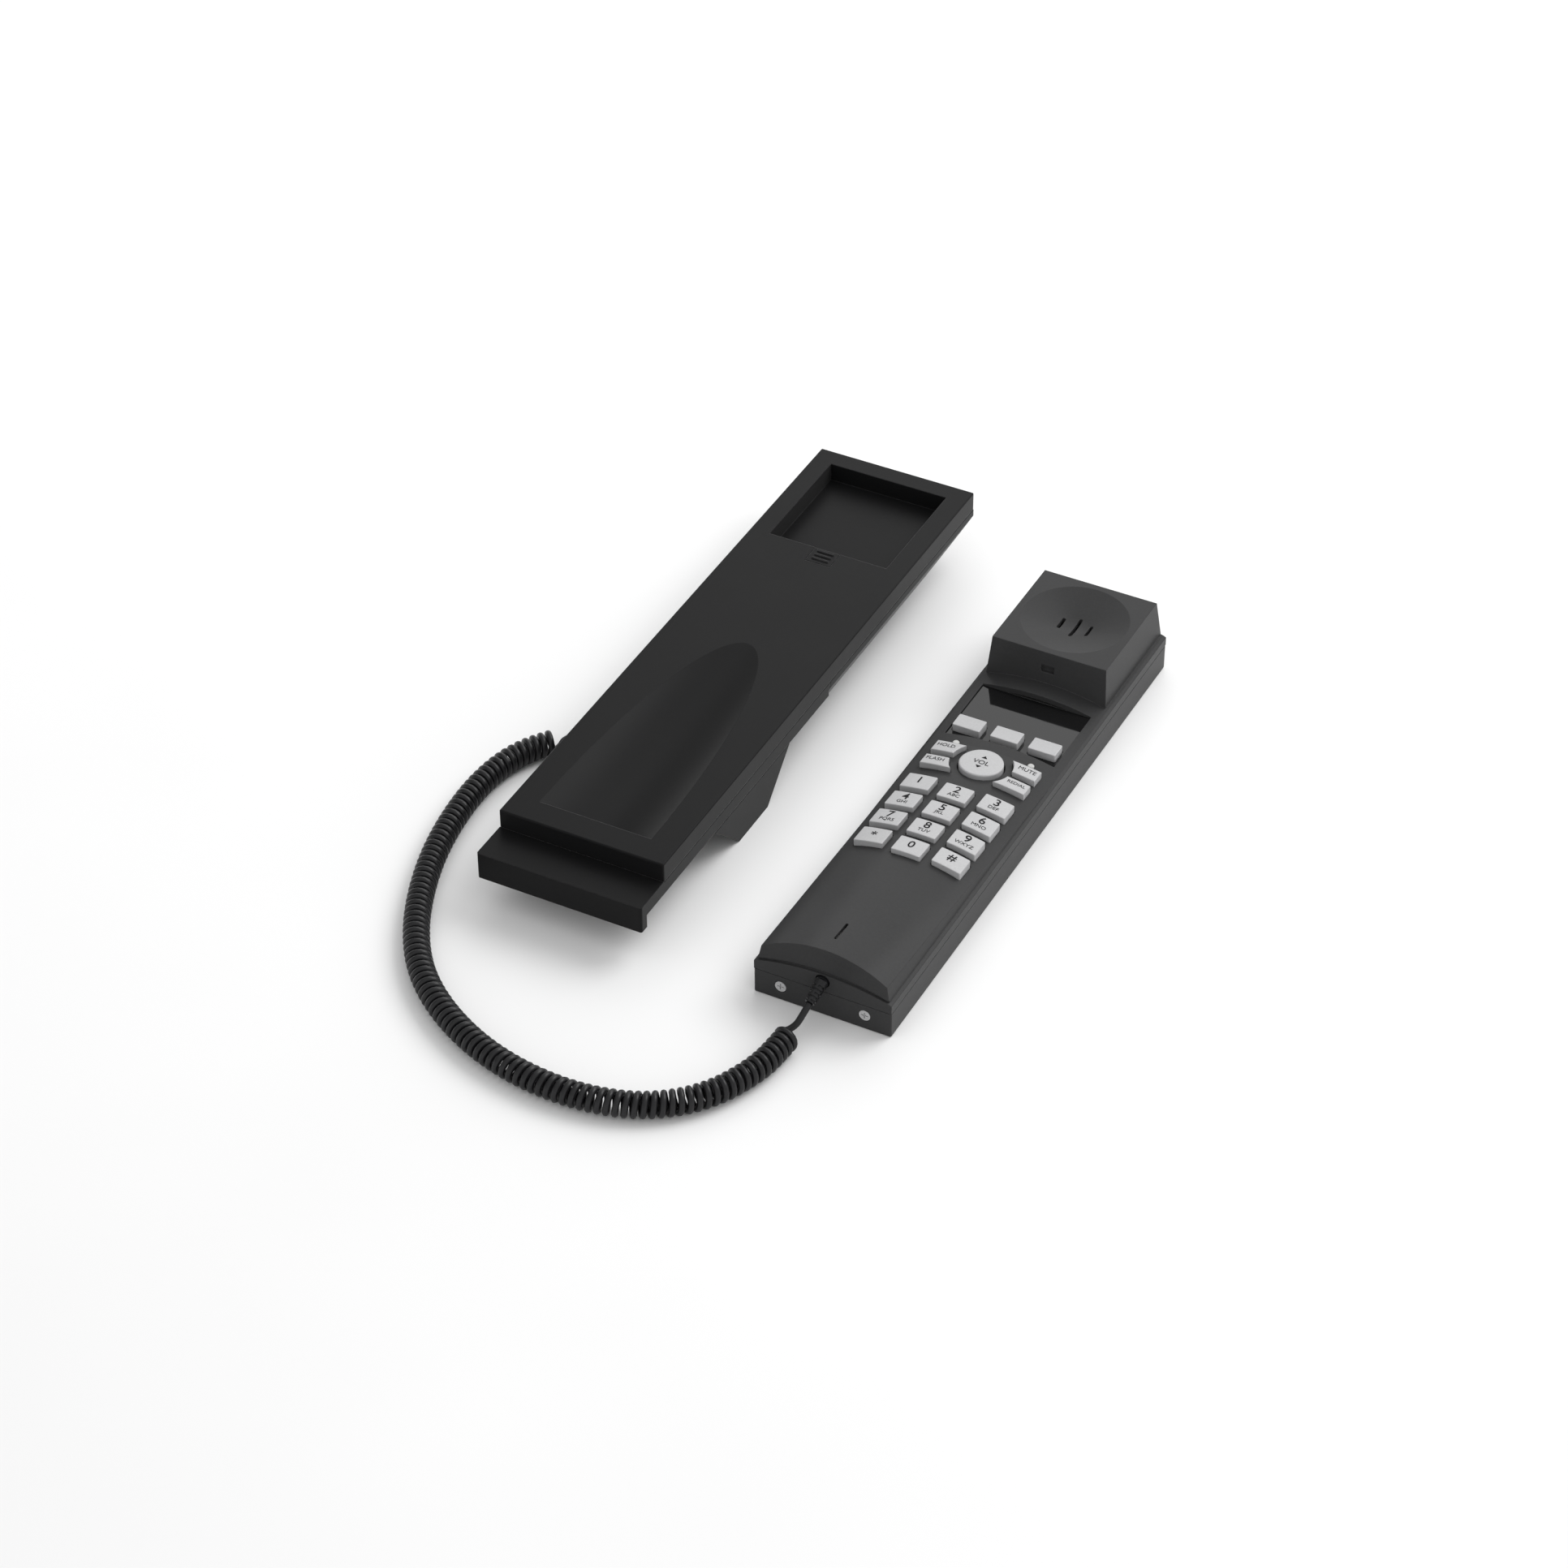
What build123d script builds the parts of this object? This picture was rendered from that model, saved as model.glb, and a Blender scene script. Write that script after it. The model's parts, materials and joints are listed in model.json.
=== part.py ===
from build123d import *
import math
import os

# Slimline wall phone: a cradle base on its wall bracket, with the handset lying face up beside it,
# joined by a curly cord. Millimetres, +Z up, +Y towards the earpiece end. The origin is on the
# surface that the phone lies on, under the middle of the two housings.

# ---- base ----
base_width = 60.0
base_length = 242.4
base_top = 28.0            # top plane above the table or wall
base_parting = 21.0        # seam between the top and bottom covers
base_under = 15.6          # underside of the bottom cover
ledge_depth = 14.9         # low step at the near end
lip_thickness = 3.5
lip_foot = 11.1
far_end_foot = 18.0        # the underside sweeps up to here at the far end
pocket_width = 45.2        # well for the earpiece block
pocket_length = 47.0
pocket_floor = 21.2
pocket_near = 188.1
scoop_depth = 6.0          # hollow for the crown of the handset
scoop_half_width = 20.5
scoop_length = 104.4
scoop_near = 24.5
wedge_near = (49.3, 65.5)  # where the bracket's near slope starts and where it lands
wedge_far = (85.6, 101.4)
spine_half_width = 18.0
spine_far = 205.0
keyhole_spacing = 101.6    # studs of a standard wall plate
keyhole_near = 71.5
keyhole_radius = 4.2
keyhole_slot_radius = 2.0
keyhole_travel = 7.0
tab_width = 9.4            # reversible hook tab
tab_length = 8.0
tab_thickness = 1.8

# ---- handset ----
handset_width = 48.0
handset_length = 211.6
handset_parting = 9.8
rim_height = 12.9
arch_half_width = 23.0     # the arched top starts here
arch_edge = 13.4
arch_middle = 16.5
crown_half_width = 21.9    # raised crown at the mouthpiece end
crown_edge = 19.0
crown_middle = 25.2
crown_near = 1.3
crown_far = 124.0          # where the crown has sunk into the arched top
crown_lean = 6.5           # degrees that the crown's end face leans back
ear_foot = (165.2, 211.4)  # earpiece block
ear_foot_half_width = 22.1
ear_top = (166.9, 208.9)
ear_top_half_width = 20.9
ear_height = 28.2
dish_middle = (0.0, 188.0)
dish_radius = 18.6
dish_depth = 4.1
dish_centre_radius = 20.0
dish_centre_reach = 5.0
panel_half_width = 19.95   # glossy speed-dial panel
panel_near = 128.5
panel_far = 158.4
panel_top = 13.6
panel_thickness = 1.5

# ---- keys ----
key_proud = 1.8            # how far a key stands above the crown
key_foot = 9.6             # lowest point of a key at rest
key_size = (10.2, 8.0)
key_corner = 0.45
key_edge = 0.25            # rounding of a key's upper edge
key_pitch = (13.8, 11.1)
bottom_row = 62.9
middle_column_set_back = 1.1
volume_middle = (0.0, 114.6)
volume_radius = 7.5
volume_clearance = 10.7    # the function keys are cut to this circle
upper_function_row = (115.5, 121.2)
lower_function_row = (107.1, 112.5)
function_half_width = 18.8
function_inner = 7.4
speed_key_size = (10.0, 6.2)
speed_key_row = 134.8
speed_key_top = 16.2
skirt_margin = 0.9
skirt_wall = 1.2
volume_axle = 14.9
light_spot = (13.6, 124.0)
light_radius = 1.25

# ---- inner parts ----
wall = 2.0
seam = 0.3                 # shadow groove round a housing's parting line
running_gap = 0.25
board_top = 5.6
board_thickness = 1.6
mat_thickness = 1.4
dome_height = 1.2
screw_spots = (-14.7, 14.7)
screw_height = 5.5
screw_head_radius = 1.95
screw_shank_radius = 1.05
screw_length = 8.0
screw_boss_half = 3.2
board_near = 13.0
board_far = 160.0
mic_spot = (0.0, 12.9)
mic_slot_length = 9.0
mic_slot_width = 0.95
mic_radius = 3.0
mic_foot = 18.2
mic_top = 21.4
mic_boot_radius = 4.5
mic_boot = (17.2, 22.0)
mic_collar_radius = 6.0
mic_collar = (17.0, 22.9)
sound_slot_width = 1.2
sound_slots = ((-5.1, 5.9), (0.15, 10.4), (5.1, 5.9))   # across, and how long
receiver_radius = 14.0
receiver_heights = (13.6, 19.6)
receiver_magnet_radius = 8.0
receiver_magnet_foot = 10.4
receiver_ring_radius = 15.4
gasket_radii = (9.4, 12.6)
gasket_top = 23.2
reed_y = 147.0
reed_ends = (-19.0, -5.0)
reed_radius = 1.0
base_screw_spots = [(x, y) for x in (-25.2, 25.2) for y in (40.0, 176.0)]
base_screw_head = 2.5
base_screw_shank = 0.95
line_jack_near = 114.5
line_jack_far = 129.5
line_jack_half_width = 6.5
line_jack_top = 14.6
base_board_y = (134.0, 179.0)
base_board_z = (19.2, 20.8)
ringer_spot = (0.0, 150.0)
magnet_box = ((8.0, 16.0), (166.0, 172.0), (22.4, 25.9))

# ---- cord ----
wire = 2.2                 # diameter of the wire
coil = 8.9                 # outer diameter of the curly part
relief_start = 13.8        # height at which the cord leaves the handset
relief_reach = (-0.9, -6.8, -3.9)
relief_root_radius = 2.2
relief_tip_radius = 1.7
relief_collar_radius = 3.3
relief_grooves = 5
jack_spot = (80.9, 8.0)    # handset jack in the bracket's left side: along, up
plug_size = (11.7, 7.6, 6.2)
plug_showing = 4.0

# ---- layout ----
housing_gap = 38.3
overall_width = base_width + housing_gap + handset_width
base_x = (base_width - overall_width) / 2
base_y = -base_length / 2
handset_x = (overall_width - handset_width) / 2
handset_y = base_y + 3.1

os.makedirs("parts", exist_ok=True)


def base_level(z):
    """Horizontal plane over the base: x from its centre line, y from its near lip."""
    return Plane(origin=(base_x, base_y, z))


def base_section(y):
    return Plane(origin=(base_x, base_y + y, 0), x_dir=(1, 0, 0), z_dir=(0, -1, 0))


def base_profile(x):
    """Upright plane along the base, seen from its right: y along, z up."""
    return Plane(origin=(base_x + x, base_y, 0), x_dir=(0, 1, 0), z_dir=(1, 0, 0))


def handset_level(z):
    """Horizontal plane over the handset: x from its centre line, y from its mouthpiece end."""
    return Plane(origin=(handset_x, handset_y, z))


def handset_section(y):
    return Plane(origin=(handset_x, handset_y + y, 0), x_dir=(1, 0, 0), z_dir=(0, -1, 0))


def handset_side(x):
    return Plane(origin=(handset_x + x, handset_y, 0), x_dir=(0, 1, 0), z_dir=(1, 0, 0))


def block(level, x, y, z):
    """Box given by its limits over one housing."""
    with BuildPart() as made:
        with BuildSketch(level(z[0])):
            with Locations(((x[0] + x[1]) / 2, (y[0] + y[1]) / 2)):
                Rectangle(x[1] - x[0], y[1] - y[0])
        extrude(amount=z[1] - z[0])
    return made.part


def post(level, radius, spots, z):
    """Upright round pins or holes at the given places over one housing."""
    with BuildPart() as made:
        with BuildSketch(level(z[0])):
            with Locations(*spots):
                Circle(radius)
        extrude(amount=z[1] - z[0])
    return made.part


def save(piece, name):
    piece.label = name
    export_step(piece, f"parts/{name}.step")


# ---- the handset's top form ----


def arch_face(half_width, foot, edge, middle):
    with BuildSketch() as face:
        with BuildLine():
            Polyline((-half_width, edge), (-half_width, foot), (half_width, foot), (half_width, edge))
            ThreePointArc((-half_width, edge), (0, middle), (half_width, edge))
        make_face()
    return face.sketch


def crown_face(half_width, edge, middle, foot_half_width, foot, stretch):
    """Crown section: drafted sides and an arched top, measured up from its foot."""
    top = (edge - foot) * stretch
    with BuildSketch() as face:
        with BuildLine():
            Polyline((-half_width, top), (-foot_half_width, 0), (foot_half_width, 0), (half_width, top))
            ThreePointArc((-half_width, top), (0, (middle - foot) * stretch), (half_width, top))
        make_face()
    return face.sketch


def crown_form(rise, inset, foot):
    """The raised crown down to a foot, with its surface moved up by rise."""
    run_out = 8.0
    reach = (crown_far + run_out - crown_near) / (crown_far - crown_near)
    far_half_width = crown_half_width + (arch_half_width - crown_half_width) * reach
    far_edge = crown_edge + (arch_edge - crown_edge) * reach
    far_middle = crown_middle + (arch_middle - crown_middle) * reach
    lean = math.radians(crown_lean)
    near_end = Plane(origin=(handset_x, handset_y + inset + 0.4, foot), x_dir=(1, 0, 0),
                     z_dir=(0, -math.cos(lean), math.sin(lean)))
    far_end = Plane(origin=(handset_x, handset_y + crown_far + run_out, foot),
                    x_dir=(1, 0, 0), z_dir=(0, -1, 0))
    with BuildPart() as form:
        with BuildSketch(near_end):
            add(crown_face(crown_half_width - inset, crown_edge + rise, crown_middle + rise,
                           arch_half_width - inset, foot, 1 / math.cos(lean)))
        with BuildSketch(far_end):
            add(crown_face(far_half_width - inset, far_edge + rise, far_middle + rise,
                           arch_half_width - inset, foot, 1))
        loft(ruled=True)
    return form.part


def top_form(rise, inset, foot):
    """Everything under the handset's arched top and crown, with that surface moved up by rise."""
    with BuildPart() as arch:
        with BuildSketch(handset_section(inset)):
            add(arch_face(arch_half_width - inset, foot, arch_edge + rise, arch_middle + rise))
        extrude(amount=-(handset_length - 2 * inset))
    return arch.part + crown_form(rise, inset, rim_height + rise)


def ear_form(inset, foot, top):
    """Tapered earpiece block between two heights."""
    slope = ear_height - arch_edge
    with BuildPart() as form:
        for z in (foot, top):
            share = (z - arch_edge) / slope
            near = ear_foot[0] + (ear_top[0] - ear_foot[0]) * share + inset
            far = ear_foot[1] + (ear_top[1] - ear_foot[1]) * share - inset
            half = ear_foot_half_width + (ear_top_half_width - ear_foot_half_width) * share - inset
            with BuildSketch(handset_level(z)):
                with Locations((0, (near + far) / 2)):
                    Rectangle(2 * half, far - near)
        loft(ruled=True)
    return form.part


def dish_form(drop):
    """Space over the dished earpiece, with the dish moved down by drop."""
    bottom = ear_height - dish_depth - drop
    rise = dish_centre_radius - math.sqrt(dish_centre_radius**2 - dish_centre_reach**2)
    half_reach = dish_centre_reach / 2
    half_rise = dish_centre_radius - math.sqrt(dish_centre_radius**2 - half_reach**2)
    rim = (dish_radius + drop, ear_height - drop + drop * (dish_depth - rise) / (dish_radius - dish_centre_reach))
    sky = ear_height + 2
    with BuildPart() as form:
        with BuildSketch(handset_section(dish_middle[1])):
            with BuildLine():
                ThreePointArc((0, bottom), (half_reach, bottom + half_rise),
                              (dish_centre_reach, bottom + rise))
                Polyline((dish_centre_reach, bottom + rise), rim, (rim[0], sky), (0, sky), (0, bottom))
            make_face()
        revolve(axis=Axis((handset_x, handset_y + dish_middle[1], 0), (0, 0, 1)))
    return form.part


# ---- key outlines ----


def digit_key_spots():
    """Name, x and y of the twelve digit keys, from the top row down."""
    rows = (("1", "2", "3"), ("4", "5", "6"), ("7", "8", "9"), ("star", "0", "hash"))
    for row, names in enumerate(rows):
        for column, name in enumerate(names):
            x = (column - 1) * key_pitch[0]
            set_back = middle_column_set_back if column == 1 else 0
            yield name, x, bottom_row + (3 - row) * key_pitch[1] - set_back


def function_key_spots():
    """Name, side and the two y limits of the four function keys."""
    for name, side, limits in (("hold", -1, upper_function_row), ("flash", -1, lower_function_row),
                               ("mute", 1, upper_function_row), ("redial", 1, lower_function_row)):
        yield name, side, limits


def draw_digit_key(x, y, margin):
    with Locations((x, y)):
        RectangleRounded(key_size[0] + 2 * margin, key_size[1] + 2 * margin, key_corner)


def draw_function_key(side, limits, margin):
    inner = function_inner - margin
    outer = function_half_width + margin
    with Locations((side * (inner + outer) / 2, (limits[0] + limits[1]) / 2)):
        Rectangle(outer - inner, limits[1] - limits[0] + 2 * margin)
    with Locations(volume_middle):
        Circle(volume_clearance - margin, mode=Mode.SUBTRACT)


def prism(draw, margin, z):
    """Upright prism of a key outline."""
    with BuildPart() as made:
        with BuildSketch(handset_level(z[0])):
            draw(margin)
        extrude(amount=z[1] - z[0])
    return made.part


def key_openings(key_draws):
    with BuildPart() as cut:
        for draw in key_draws:
            add(prism(draw, running_gap, (handset_parting, ear_height)))
        add(post(handset_level, volume_radius + 0.45, [volume_middle], (handset_parting, ear_height)))
        spots = [(side * light_spot[0], light_spot[1]) for side in (-1, 1)]
        add(post(handset_level, light_radius + 0.1, spots, (handset_parting, ear_height)))
    return cut.part


# ---- handset shells ----


def slot_prism(x, y, length, width, z):
    with BuildPart() as cut:
        with BuildSketch(handset_level(z[0])):
            with Locations((x, y)):
                SlotOverall(length, width, rotation=90)
        extrude(amount=z[1] - z[0])
    return cut.part


def top_shell_inner_space():
    with BuildPart() as space:
        add(top_form(-wall, wall, handset_parting - 1))
        add(ear_form(wall, arch_edge - 3, ear_height - wall))
        add(dish_form(wall), mode=Mode.SUBTRACT)
    return space.part


def make_ring(inner, outer, z):
    """Ring round the middle of the earpiece."""
    with BuildPart() as ring:
        add(post(handset_level, outer, [dish_middle], z))
        add(post(handset_level, inner, [dish_middle], z), mode=Mode.SUBTRACT)
    return ring.part


def make_top_shell(key_draws):
    with BuildPart() as shell:
        with BuildSketch(handset_section(0)):
            with BuildLine():
                half = handset_width / 2
                Polyline((-arch_half_width, arch_edge), (-half, rim_height), (-half, handset_parting),
                         (half, handset_parting), (half, rim_height), (arch_half_width, arch_edge))
                ThreePointArc((-arch_half_width, arch_edge), (0, arch_middle),
                              (arch_half_width, arch_edge))
            make_face()
        extrude(amount=-handset_length)
        add(top_form(0, 0, handset_parting))
        add(ear_form(0, arch_edge - 0.5, ear_height))
        add(top_shell_inner_space(), mode=Mode.SUBTRACT)
        # rails that carry the panel, the microphone's collar, the rocker's bearings, screw posts
        for near, far in ((panel_near - 1.6, panel_near + 2.0), (panel_far - 2.0, panel_far + 1.6)):
            add(block(handset_level, (-21.5, 21.5), (near, far), (10.4, panel_top)))
        add(post(handset_level, mic_collar_radius, [mic_spot], mic_collar))
        add(post(handset_level, mic_boot_radius + 0.2, [mic_spot], mic_collar), mode=Mode.SUBTRACT)
        for side in (-1, 1):
            ear = sorted((side * 8.1, side * 9.3))
            add(block(handset_level, ear, (volume_middle[1] - 1.6, volume_middle[1] + 1.6),
                      (13.2, 15.9)))
        for x in screw_spots:
            boss = (x - screw_boss_half, x + screw_boss_half)
            add(block(handset_level, boss, (wall + 0.3, 11.0), (2.4, 15.0)))
            add(block(handset_level, boss, (wall - 1.0, 4.0), (handset_parting, 15.0)))
        add(make_ring(receiver_radius + 0.1, receiver_ring_radius, (15.0, 25.6)))
        with BuildSketch(handset_side(0)):
            with Locations((volume_middle[1], volume_axle)):
                Circle(1.0)
        extrude(amount=9.6, both=True, mode=Mode.SUBTRACT)
        with BuildSketch(handset_section(wall)):
            with Locations(*((x, screw_height) for x in screw_spots)):
                Circle(screw_shank_radius + 0.05)
        extrude(amount=-screw_length, mode=Mode.SUBTRACT)
        # openings
        add(key_openings(key_draws), mode=Mode.SUBTRACT)
        add(block(handset_level, (-panel_half_width, panel_half_width), (panel_near, panel_far),
                  (panel_top - panel_thickness, ear_height)), mode=Mode.SUBTRACT)
        add(block(handset_level, (-19.7, 19.7), (panel_near + 2.0, panel_far - 2.0),
                  (handset_parting, ear_height)), mode=Mode.SUBTRACT)
        add(dish_form(0), mode=Mode.SUBTRACT)
        for x, length in sound_slots:
            add(slot_prism(x, dish_middle[1], length, sound_slot_width, (20.0, 30.0)), mode=Mode.SUBTRACT)
        add(slot_prism(mic_spot[0], mic_spot[1], mic_slot_length, mic_slot_width, (20.0, 30.0)),
            mode=Mode.SUBTRACT)
        # recess that the hook tab catches
        add(block(handset_level, (-2.4, 2.4), (ear_foot[0] - 2, ear_foot[0] + 2.2), (20.45, 23.15)),
            mode=Mode.SUBTRACT)
        with BuildSketch(handset_section(-1)):
            with Locations((0, relief_start)):
                Circle(relief_root_radius + 0.3)
        extrude(amount=-5.0, mode=Mode.SUBTRACT)
        with BuildSketch(handset_section(wall)):
            with Locations((0, relief_start)):
                Circle(relief_collar_radius + 0.1)
        extrude(amount=-1.8, mode=Mode.SUBTRACT)
        # shadow groove where the end wall meets the crown
        with BuildSketch(handset_section(-0.5)):
            with BuildLine():
                ThreePointArc((-arch_half_width, arch_edge), (0, arch_middle), (arch_half_width, arch_edge))
                Line((arch_half_width, arch_edge), (arch_half_width, arch_edge + 0.7))
                ThreePointArc((arch_half_width, arch_edge + 0.7), (0, arch_middle + 0.7),
                              (-arch_half_width, arch_edge + 0.7))
                Line((-arch_half_width, arch_edge + 0.7), (-arch_half_width, arch_edge))
            make_face()
        extrude(amount=-1.6, mode=Mode.SUBTRACT)
    return shell.part


def make_bottom_shell():
    half = handset_width / 2
    with BuildPart() as shell:
        add(block(handset_level, (-half, half), (0, handset_length), (0, handset_parting)))
        upright = shell.edges().filter_by(Axis.Z)
        fillet(upright, 0.5)
        fillet(shell.faces().sort_by(Axis.Z)[0].edges(), 0.6)
        with BuildSketch(handset_level(handset_parting - seam)):
            with Locations((0, handset_length / 2)):
                Rectangle(handset_width, handset_length)
                Rectangle(handset_width - 2 * seam, handset_length - 2 * seam, mode=Mode.SUBTRACT)
        extrude(amount=seam, mode=Mode.SUBTRACT)
        add(block(handset_level, (-half + wall, half - wall), (wall, handset_length - wall),
                  (wall, handset_parting)), mode=Mode.SUBTRACT)
        spots = [(x, y) for x in (-17.5, 17.5) for y in (22.0, 90.0, 152.0)]
        add(post(handset_level, 2.2, spots, (wall, board_top - board_thickness)))
        with BuildSketch(handset_section(-1)):
            with Locations(*((x, screw_height) for x in screw_spots)):
                Circle(screw_head_radius + 0.2)
        extrude(amount=-1.9, mode=Mode.SUBTRACT)
        with BuildSketch(handset_section(0)):
            with Locations(*((x, screw_height) for x in screw_spots)):
                Circle(screw_shank_radius + 0.25)
        extrude(amount=-wall, mode=Mode.SUBTRACT)
    return shell.part


def make_case_screws():
    """Two cross-head screws that close the mouthpiece end."""
    with BuildPart() as screws:
        for x in screw_spots:
            with BuildSketch(handset_section(0.05)):
                with Locations((x, screw_height)):
                    Circle(screw_head_radius)
            extrude(amount=-0.8)
            with BuildSketch(handset_section(0.8)):
                with Locations((x, screw_height)):
                    Circle(screw_shank_radius)
            extrude(amount=-screw_length)
            with BuildSketch(handset_section(0.05)):
                with Locations((x, screw_height)):
                    Rectangle(2.2, 0.45)
                    Rectangle(0.45, 2.2)
            extrude(amount=-0.4, mode=Mode.SUBTRACT)
    return screws.part


# ---- keys ----


def make_key(draw, cap_top, skirt_top):
    """A cap whose top follows the crown, on a hollow skirt with a plunger."""
    centre = prism(draw, 0, (key_foot, key_foot + 1)).center()
    with BuildPart() as plunger:
        with BuildSketch(Plane.XY.offset(key_foot)):
            with Locations((centre.X, centre.Y)):
                Rectangle(3.0, 3.0)
        extrude(amount=ear_height - key_foot)
    with BuildPart() as skirt:
        add(prism(draw, skirt_margin, (key_foot + 0.2, ear_height)))
        add(skirt_top, mode=Mode.INTERSECT)
    with BuildPart() as hollow:
        add(prism(draw, -skirt_wall, (key_foot - 1, ear_height)))
        add(skirt_top, mode=Mode.INTERSECT)
        add(plunger.part, mode=Mode.SUBTRACT)
    with BuildPart() as key:
        add(prism(draw, 0, (key_foot + 0.2, ear_height + 2)))
        add(cap_top, mode=Mode.INTERSECT)
        fillet(key.faces().sort_by(Axis.Z)[-1].edges(), key_edge)
        add(skirt.part)
        add(hollow.part, mode=Mode.SUBTRACT)
        with BuildSketch(Plane.XY.offset(key_foot)):
            with Locations((centre.X, centre.Y)):
                Rectangle(3.0, 3.0)
        extrude(amount=1.0)
    return key.part


def make_speed_key(x):
    limits = (panel_top - panel_thickness - 0.2, key_foot + 0.2)
    with BuildPart() as key:
        with BuildSketch(handset_level(limits[1])):
            with Locations((x, speed_key_row)):
                RectangleRounded(speed_key_size[0], speed_key_size[1], key_corner)
        extrude(amount=speed_key_top - limits[1])
        fillet(key.faces().sort_by(Axis.Z)[-1].edges(), key_edge)
        with BuildSketch(handset_level(limits[1])):
            with Locations((x, speed_key_row)):
                Rectangle(speed_key_size[0] + 1.2, speed_key_size[1] + 1.2)
        extrude(amount=limits[0] - limits[1])
        with BuildSketch(handset_level(limits[1])):
            with Locations((x, speed_key_row)):
                Rectangle(speed_key_size[0] - 2.4, speed_key_size[1] - 2.4)
        extrude(amount=4.5, mode=Mode.SUBTRACT)
        with BuildSketch(handset_level(key_foot)):
            with Locations((x, speed_key_row)):
                Rectangle(2.6, 2.6)
        extrude(amount=5.5)
    return key.part


def make_volume_rocker(cap_top):
    x, y = volume_middle
    with BuildPart() as rocker:
        add(post(handset_level, volume_radius, [volume_middle], (13.4, ear_height)))
        add(cap_top, mode=Mode.INTERSECT)
        fillet(rocker.faces().sort_by(Axis.Z)[-1].edges(), 0.6)
        with BuildSketch(handset_side(0)):
            with Locations((y, volume_axle)):
                Circle(0.8)
        extrude(amount=9.3, both=True)
        add(post(handset_level, 1.5, [(x, y - 4.6), (x, y + 4.6)], (key_foot, 14.0)))
    return rocker.part


def make_light(side):
    """Light pipe from the board to a small dome in the top shell."""
    spot = [(side * light_spot[0], light_spot[1])]
    shoulder = 13.9
    with BuildPart() as light:
        add(post(handset_level, light_radius, spot, (shoulder, 15.9)))
        fillet(light.edges().sort_by(Axis.Z)[-1], 0.6)
        add(post(handset_level, 0.8, spot, (board_top, shoulder)))
    return light.part


# ---- inside the handset ----


def make_panel():
    with BuildPart() as panel:
        inset = 0.1
        half = panel_half_width - inset
        add(block(handset_level, (-half, half), (panel_near + inset, panel_far - inset),
                  (panel_top - panel_thickness, panel_top)))
        with BuildSketch(handset_level(panel_top)):
            with Locations(*((x, speed_key_row) for x in (-key_pitch[0], 0, key_pitch[0]))):
                RectangleRounded(speed_key_size[0] + 2 * running_gap,
                                 speed_key_size[1] + 2 * running_gap, 0.7)
        extrude(amount=-panel_thickness, mode=Mode.SUBTRACT)
    return panel.part


def plunger_spots():
    for _, x, y in digit_key_spots():
        yield x, y
    for _, side, limits in function_key_spots():
        yield side * 14.6, (limits[0] + limits[1]) / 2
    for y in (-4.6, 4.6):
        yield volume_middle[0], volume_middle[1] + y
    for x in (-key_pitch[0], 0, key_pitch[0]):
        yield x, speed_key_row


def make_mat():
    """Rubber contact mat with one dome under each plunger."""
    top = board_top + mat_thickness
    with BuildPart() as mat:
        add(block(handset_level, (-20.0, 20.0), (56.0, 141.0), (board_top, top)))
        for x, y in plunger_spots():
            with BuildSketch(handset_level(top)):
                with Locations((x, y)):
                    Circle(2.3)
            extrude(amount=dome_height, taper=18)
        spots = [(side * light_spot[0], light_spot[1]) for side in (-1, 1)]
        add(post(handset_level, light_radius + 0.3, spots, (board_top, top + 1)), mode=Mode.SUBTRACT)
    return mat.part


def make_handset_board():
    with BuildPart() as board:
        add(block(handset_level, (-20.5, 20.5), (board_near, board_far),
                  (board_top - board_thickness, board_top)))
    return board.part


def make_microphone():
    return post(handset_level, mic_radius, [mic_spot], (mic_foot, mic_top))


def make_microphone_boot():
    with BuildPart() as boot:
        add(post(handset_level, mic_boot_radius, [mic_spot], mic_boot))
        add(post(handset_level, mic_radius + 0.05, [mic_spot], (mic_foot, mic_boot[1])), mode=Mode.SUBTRACT)
    return boot.part


def make_receiver():
    with BuildPart() as receiver:
        foot, top = receiver_heights
        add(post(handset_level, receiver_radius, [dish_middle], receiver_heights))
        add(post(handset_level, receiver_magnet_radius, [dish_middle], (receiver_magnet_foot, foot)))
        spots = [(r, dish_middle[1]) for r in (-4.5, 0, 4.5)]
        add(post(handset_level, 0.8, spots, (top - 1, top)), mode=Mode.SUBTRACT)
    return receiver.part


def make_reed_switch():
    """Glass tube that closes near the cradle's magnet, on two bent leads."""
    left, right = reed_ends
    with BuildPart() as switch:
        with BuildSketch(handset_side(left)):
            with Locations((reed_y, board_top + reed_radius + 0.1)):
                Circle(reed_radius)
        extrude(amount=right - left)
        for lead in ((left - 1, left), (right, right + 1)):
            add(block(handset_level, lead, (reed_y - 0.4, reed_y + 0.4), (board_top, board_top + 1.5)))
    return switch.part


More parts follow.
